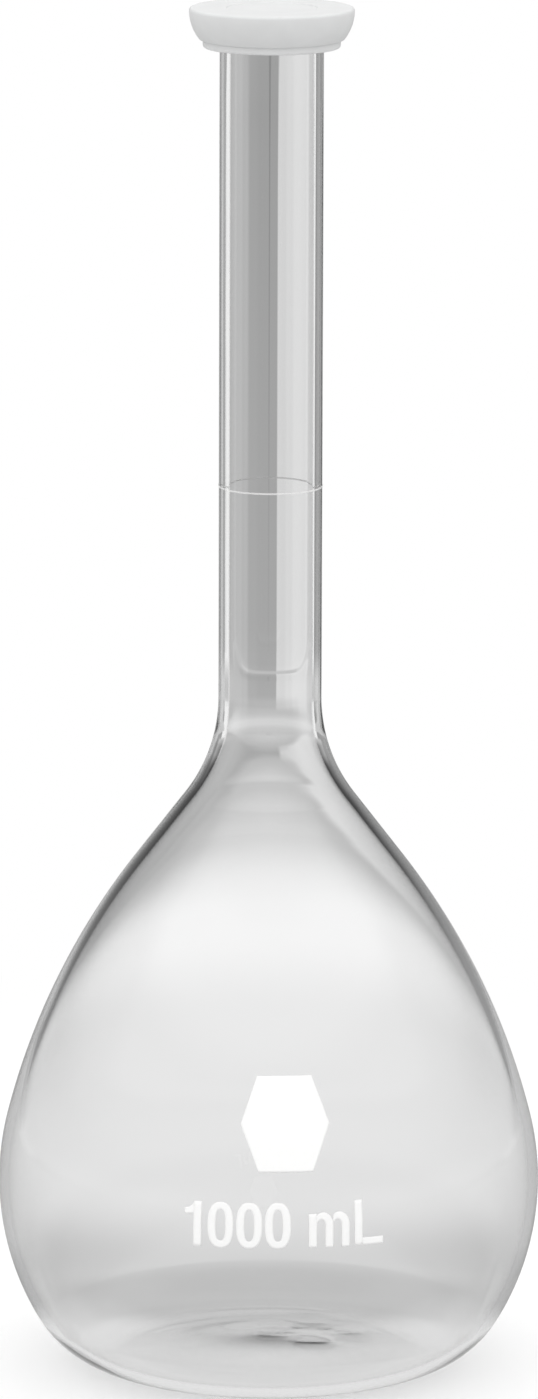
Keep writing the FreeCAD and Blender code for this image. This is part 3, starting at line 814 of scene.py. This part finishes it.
# Runs over metres of floor. A ring or a band is a start, an end and a change of brightness. The floor's
# light here is painted: a painted band of light behind the flask, and a painted shadow of the flask and
# painted shade at the sides, on the far floor and in front, which are taken away from the floor's light.
FLOOR_RADIUS = 0.85
FLOOR_GAP = 0.2 * MM
FLOOR_LIGHT = 0.87
FLOOR_BANDS = ((0.36, 0.47, 0.11),)
FLOOR_SIDES_RINGS = ((0.07, 0.12, 1.0), (0.30, 0.45, -1.0))
FLOOR_FAR_RUN = (0.50, 0.69)
FLOOR_FRONT_RUN = (-0.03, 0.0, 0.14, 0.0)
FLOOR_EDGE_RUN = (0.68, 0.76)
SHADOW_DARKNESS = 0.31
SHADOW_RINGS = ((0.064, 0.086, -0.13), (0.086, 0.160, -0.18))
SHADOW_FRONT_RUN = (0.0, 0.03)
# Painted light and shade on the floor that the glass reflects, in rings round the flask.
MIRROR_FLOOR_LIGHT = 0.78
MIRROR_FLOOR_RINGS = ((0.055, 0.072, -0.28), (0.09, 0.13, 0.08))
MIRROR_FLOOR_EDGE_RUN = (0.78, FLOOR_RADIUS)
OPEN_FLOOR_RUN = (0.10, 0.4, 0.5, 1.0)
FLOOR_GREY = 0.65
FLOOR_WHITE = 0.98
FLOOR_RING_COUNT = 30
FLOOR_SEGMENTS = 96


def view_angle(tree, place):
    """Turn of a place or direction about the axis, in degrees: 0 straight behind the flask, + to the
    right. Also how far it lies behind the flask, and how far up."""
    east, north, up = add_node(tree, "ShaderNodeSeparateXYZ", place).outputs
    cosine = math.cos(VIEW_AZIMUTH)
    sine = math.sin(VIEW_AZIMUTH)
    behind = calculate(tree, "MULTIPLY_ADD", north, cosine, calculate(tree, "MULTIPLY", east, -sine))
    aside = calculate(tree, "MULTIPLY_ADD", north, sine, calculate(tree, "MULTIPLY", east, cosine))
    return calculate(tree, "DEGREES", calculate(tree, "ARCTAN2", aside, behind)), behind, up


def ring_light(tree, distance, light, rings):
    """Brightness of the floor at a distance: the first brightness, changed by each ring or band."""
    for start, end, change in rings:
        light = calculate(tree, "ADD", light, step_between(tree, distance, start, end, 0.0, change))
    return light


def card_share(tree, turn, left, right, left_soft, right_soft):
    """How much of a card is seen at a turn: 1 between its edges, 0 past them, with a smooth run at
    each."""
    rise = step_between(tree, turn, left - left_soft / 2, left + left_soft / 2)
    fall = step_between(tree, turn, right - right_soft / 2, right + right_soft / 2, 1.0, 0.0)
    return calculate(tree, "MULTIPLY", rise, fall)


def card_light(tree, turn, cards):
    """Brightness round the flask: the room's, taken over by each card between its soft edges."""
    light = ROOM_LIGHT
    for *edges, card in cards:
        light = blend_values(tree, card_share(tree, turn, *edges), light, card)
    return light


def ray_kinds(tree):
    """Whether a ray comes straight from the camera, whether it came by way of glass or gloss alone, and
    whether it was reflected on that way."""
    rays = tree.nodes.new("ShaderNodeLightPath").outputs
    bent = calculate(tree, "MAXIMUM", rays["Is Glossy Ray"], rays["Is Transmission Ray"])
    unscattered = calculate(tree, "LESS_THAN", rays["Diffuse Depth"], 0.5)
    by_glass = calculate(tree, "MULTIPLY", bent, unscattered)
    mirrored = calculate(tree, "GREATER_THAN", rays["Glossy Depth"], 0.5)
    return rays["Is Camera Ray"], by_glass, mirrored


def room_through_glass(tree, turn, up):
    """Cards round the flask, the grey one shaded towards its top and along its seam, under a dim sky."""
    grey = card_share(tree, turn, *GREY_CARD[:4])
    shade = blend_values(tree, grey, 1.0, step_between(tree, up, *GREY_CARD_RUN))
    seam = card_share(tree, turn, *GREY_SEAM)
    seam = calculate(tree, "MULTIPLY", seam, step_between(tree, up, *GREY_SEAM_RUN))
    shade = calculate(tree, "MULTIPLY", shade, blend_values(tree, seam, 1.0, GREY_SEAM_SHADE))
    cards = calculate(tree, "MULTIPLY", card_light(tree, turn, CARDS), shade)
    return blend_values(tree, step_between(tree, up, *SKY_RUN), cards, SKY_LIGHT)


def room_in_reflections(tree, turn, up):
    """Other cards low down, plain light above them, a dim sky, a pale back and a softbox all round."""
    either_way = calculate(tree, "ABSOLUTE", turn)
    plain = blend_values(
        tree, step_between(tree, either_way, *MIRROR_SIDES_RUN),
        step_between(tree, turn, *MIRROR_TURN_RUN), MIRROR_SIDE_LIGHT)
    room = blend_values(
        tree, step_between(tree, up, *MIRROR_ROOM_RUN), card_light(tree, turn, MIRROR_CARDS), plain)
    room = blend_values(tree, step_between(tree, up, *SKY_RUN), room, SKY_LIGHT)
    back = calculate(
        tree, "MULTIPLY", step_between(tree, up, *MIRROR_BACK_FOOT_RUN),
        step_between(tree, up, *MIRROR_BACK_TOP_RUN))
    back = calculate(tree, "MULTIPLY", step_between(tree, either_way, *MIRROR_BACK_SIDES_RUN), back)
    room = blend_values(tree, back, room, MIRROR_BACK_LIGHT)
    softbox = calculate(
        tree, "MULTIPLY", step_between(tree, up, *SOFTBOX_FOOT_RUN),
        step_between(tree, up, *SOFTBOX_TOP_RUN))
    return calculate(tree, "ADD", room, softbox)


def make_world():
    """White to the camera and a soft dome to the surfaces. The glass shows one room through it and
    another in its reflections."""
    world = bpy.data.worlds.new("studio")
    world.use_nodes = True
    tree = world.node_tree
    tree.nodes.clear()
    direction = tree.nodes.new("ShaderNodeTexCoord").outputs["Generated"]
    turn, _, up = view_angle(tree, direction)
    to_camera, by_glass, mirrored = ray_kinds(tree)
    in_glass = blend_values(
        tree, mirrored, room_through_glass(tree, turn, up), room_in_reflections(tree, turn, up))
    dome = step_between(tree, up, *DOME_RUN)
    light = blend_values(tree, to_camera, blend_values(tree, by_glass, dome, in_glass), 1.0)
    sky = add_node(tree, "ShaderNodeBackground", (1, 1, 1, 1), light)
    output = tree.nodes.new("ShaderNodeOutputWorld")
    tree.links.new(sky.outputs[0], output.inputs["Surface"])
    bpy.context.scene.world = world


def floor_through_glass(tree, turn, behind, away):
    """Painted floor light that the glass shows, with a painted band of light behind the flask, less a
    painted shadow of the flask and painted shade on the far floor, the sides and the front; the cards'
    brightness takes over at the edge."""
    either_way = calculate(tree, "ABSOLUTE", turn)
    # Painted shadow of the flask, behind it and fading towards the sides.
    fan = calculate(
        tree, "MULTIPLY", step_between(tree, behind, *SHADOW_FRONT_RUN),
        step_between(tree, either_way, *SHADOW_SIDES_RUN))
    shadow = calculate(tree, "MULTIPLY", ring_light(tree, away, SHADOW_DARKNESS, SHADOW_RINGS), fan)
    # Painted shade on the far floor, at the sides and in front.
    far = calculate(
        tree, "MULTIPLY", step_between(tree, behind, *FLOOR_FAR_RUN),
        step_between(tree, either_way, *FLOOR_FAR_SIDES_RUN))
    sides = calculate(
        tree, "MULTIPLY", step_between(tree, either_way, *FLOOR_SIDES_RUN),
        ring_light(tree, away, 0.0, FLOOR_SIDES_RINGS))
    front = step_between(tree, behind, *FLOOR_FRONT_RUN)
    # Painted floor light with a painted band of light behind the flask.
    light = ring_light(tree, behind, FLOOR_LIGHT, FLOOR_BANDS)
    for darkness in (shadow, far, sides, front):
        light = calculate(tree, "SUBTRACT", light, darkness)
    edge = step_between(tree, away, *FLOOR_EDGE_RUN)
    return blend_values(tree, edge, light, card_light(tree, turn, CARDS))


def floor_in_reflections(tree, turn, away):
    """Painted rings of light and shade round the flask, with the mirror cards' brightness at the edge."""
    light = ring_light(tree, away, MIRROR_FLOOR_LIGHT, MIRROR_FLOOR_RINGS)
    edge = step_between(tree, away, *MIRROR_FLOOR_EDGE_RUN)
    return blend_values(tree, edge, light, card_light(tree, turn, MIRROR_CARDS))


def floor_finish():
    """Pale floor: white to the camera, with a soft shadow round the flask, and plain grey to the other
    surfaces. The glass shows one floor of painted light and painted shadow through it and another of
    painted light and shade in its reflections."""
    material, tree, output = new_material("pale_floor")
    place = object_place(tree)
    turn, behind, _ = view_angle(tree, place)
    away = add_node(tree, "ShaderNodeVectorMath", place, operation="LENGTH").outputs["Value"]
    to_camera, by_glass, mirrored = ray_kinds(tree)
    through = floor_through_glass(tree, turn, behind, away)
    in_glass = blend_values(tree, mirrored, through, floor_in_reflections(tree, turn, away))
    matt = add_node(tree, "ShaderNodeBsdfDiffuse", blend_values(tree, to_camera, FLOOR_GREY, FLOOR_WHITE))
    # The floor glows with the painted light and shadow that the glass shows.
    glow = add_node(tree, "ShaderNodeEmission", (1, 1, 1, 1), in_glass)
    white = add_node(tree, "ShaderNodeEmission", (1, 1, 1, 1), 1.0)
    open_floor = calculate(tree, "MULTIPLY", to_camera, step_between(tree, away, *OPEN_FLOOR_RUN))
    seen = add_node(tree, "ShaderNodeMixShader", open_floor, matt.outputs[0], white.outputs[0])
    both = add_node(tree, "ShaderNodeMixShader", by_glass, seen.outputs[0], glow.outputs[0])
    tree.links.new(both.outputs[0], output.inputs["Surface"])
    return material


def make_floor():
    """Flat round floor: rings of points whose radius grows as a square, just under the base."""
    radius = np.linspace(0, 1, FLOOR_RING_COUNT)[:, None] ** 2 * FLOOR_RADIUS
    angle = round_angles(FLOOR_SEGMENTS)[None, :]
    height = np.full((FLOOR_RING_COUNT, FLOOR_SEGMENTS), -FLOOR_GAP)
    grid = np.stack((radius * np.cos(angle), radius * np.sin(angle), height), axis=-1)
    points = np.concatenate((grid[1:].reshape(-1, 3), grid[:1, 0]))
    here = np.arange(FLOOR_SEGMENTS)
    after = (here + 1) % FLOOR_SEGMENTS
    middle = np.full(FLOOR_SEGMENTS, len(points) - 1)
    faces = ring_quads(FLOOR_RING_COUNT - 1, FLOOR_SEGMENTS)[:, ::-1].tolist()
    faces += np.column_stack((middle, here, after)).tolist()
    floor = new_piece("pale_floor", points, faces)
    floor.data.materials.append(floor_finish())


def make_camera():
    """Long lens in front of the flask, looking down along its axis line."""
    data = bpy.data.cameras.new("camera")
    data.sensor_width = VIEW_SENSOR
    data.lens = VIEW_LENS
    data.clip_end = VIEW_CLIP
    camera = bpy.data.objects.new("camera", data)
    bpy.context.scene.collection.objects.link(camera)
    camera.location = Vector((
        VIEW_DISTANCE * math.sin(VIEW_AZIMUTH),
        -VIEW_DISTANCE * math.cos(VIEW_AZIMUTH),
        VIEW_HEIGHT))
    heading = Matrix.Rotation(VIEW_AZIMUTH + VIEW_YAW, 4, "Z")
    pitch = Matrix.Rotation(QUARTER - VIEW_PITCH, 4, "X")
    roll = Matrix.Rotation(VIEW_ROLL, 4, "Z")
    camera.rotation_euler = (heading @ pitch @ roll).to_euler()
    bpy.context.scene.camera = camera


def dress(piece, material, body, slot, *nodes):
    """Give a piece its finish, its body and the solids that it stands for; the slot is not used."""
    piece.data.materials.append(material)
    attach(piece, body)
    if nodes:
        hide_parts(*nodes)


make_camera()
make_world()
make_floor()

enamel = fired_enamel("fired_enamel", ENAMEL_COVER)
ring_enamel = fired_enamel("ring_enamel", RING_COVER)
dress(make_glass(), borosilicate_glass(), "flask", "clear_glass", "blown_bulb", "neck_tube")
dress(make_ring(), ring_enamel, "flask", "white_enamel", "graduation_ring")
dress(make_spot(), enamel, "flask", "white_enamel", "marking_spot")
dress(make_capacity_mark(), enamel, "flask", "white_enamel")
dress(make_cap(), cap_polyethylene(), "cap", "cap_polyethylene", "snap_cap")

bpy.context.scene.view_settings.view_transform = "Standard"
